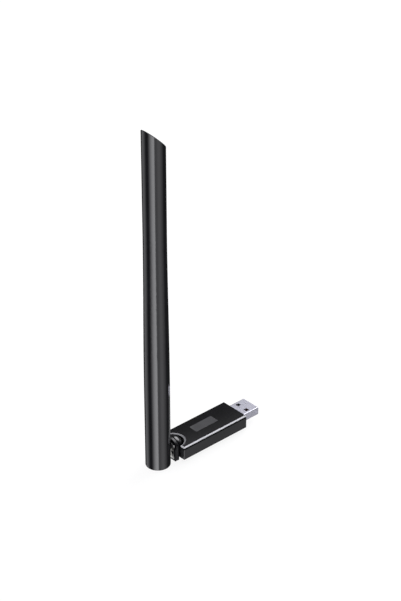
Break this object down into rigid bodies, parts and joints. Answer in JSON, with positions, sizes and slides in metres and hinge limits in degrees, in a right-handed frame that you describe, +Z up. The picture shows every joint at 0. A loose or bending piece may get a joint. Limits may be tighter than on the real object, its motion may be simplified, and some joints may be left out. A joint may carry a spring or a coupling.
{
  "type": "usb wifi adapter",
  "caption": "Slim USB wireless network adapter with a bare metal plug and a long round rod antenna on a swivel and tilt hinge.",
  "frame": {"origin": "centre of the USB plug where it leaves the case's front wall", "axes": "+X out of the plug, along the case; +Z up, along the antenna at rest; +Y across the case"},
  "size_m": [0.0741, 0.0182, 0.1956],
  "materials": {
    "case_plastic": "semi-gloss black moulded",
    "cover_plastic": "semi-gloss black moulded",
    "label_film": "glossy dark grey film",
    "plug_steel": "bright nickel plating",
    "black_nylon": "matt",
    "gold_contact": "gold plated",
    "board_laminate": "solder mask",
    "tinned_steel": "satin",
    "chip_resin": "moulded resin",
    "ceramic": "matt",
    "coax_jacket": "smooth",
    "hinge_plastic": "gloss black moulded",
    "acetal": "natural white",
    "spring_steel": "satin",
    "bracket_metal": "nickel plated, satin",
    "screw_steel": "black oxide",
    "antenna_plastic": "gloss black moulded",
    "brass": "plain",
    "copper_wire": "plain",
    "foam": "closed-cell foam"
  },
  "bodies": {
    "dongle": {"bottom_case": "case_plastic", "top_cover": "cover_plastic", "label_plate": "label_film", "usb_shell": "plug_steel", "usb_insulator": "black_nylon", "usb_contacts": "gold_contact", "circuit_board": "board_laminate", "rf_shield": "tinned_steel", "radio_chip": "chip_resin", "memory_chip": "chip_resin", "crystal": "tinned_steel", "regulator": "chip_resin", "passives": "ceramic", "antenna_socket": "gold_contact", "coax_plug": "tinned_steel", "coax_in_case": "coax_jacket", "swivel_dome": "hinge_plastic", "swivel_bearing": "acetal"},
    "knuckle": {"knuckle_front": "hinge_plastic", "shaft_clip": "spring_steel", "wave_washer": "spring_steel", "knuckle_rear": "hinge_plastic", "hinge_bracket": "bracket_metal", "bracket_screws": "screw_steel", "coax_in_knuckle": "coax_jacket"},
    "antenna": {"tilt_pin": "spring_steel", "friction_washers": "acetal", "antenna_fork": "hinge_plastic", "antenna_tube": "antenna_plastic", "pin_caps": "antenna_plastic", "coax_in_antenna": "coax_jacket", "crimp_ferrule": "brass", "balun_sleeve": "brass", "radiator_wire": "copper_wire", "phasing_coil": "copper_wire", "foam_spacers": "foam"}
  },
  "joints": [
    {"name": "swivel", "type": "hinge", "parent": "dongle", "child": "knuckle", "pos_m": [-0.04525, 0, 0.0013], "axis": [1, 0, 0], "range_deg": [-90, 90]},
    {"name": "tilt", "type": "hinge", "parent": "knuckle", "child": "antenna", "pos_m": [-0.0557, 0, -0.001], "axis": [0, -1, 0], "range_deg": [0, 90]}
  ]
}
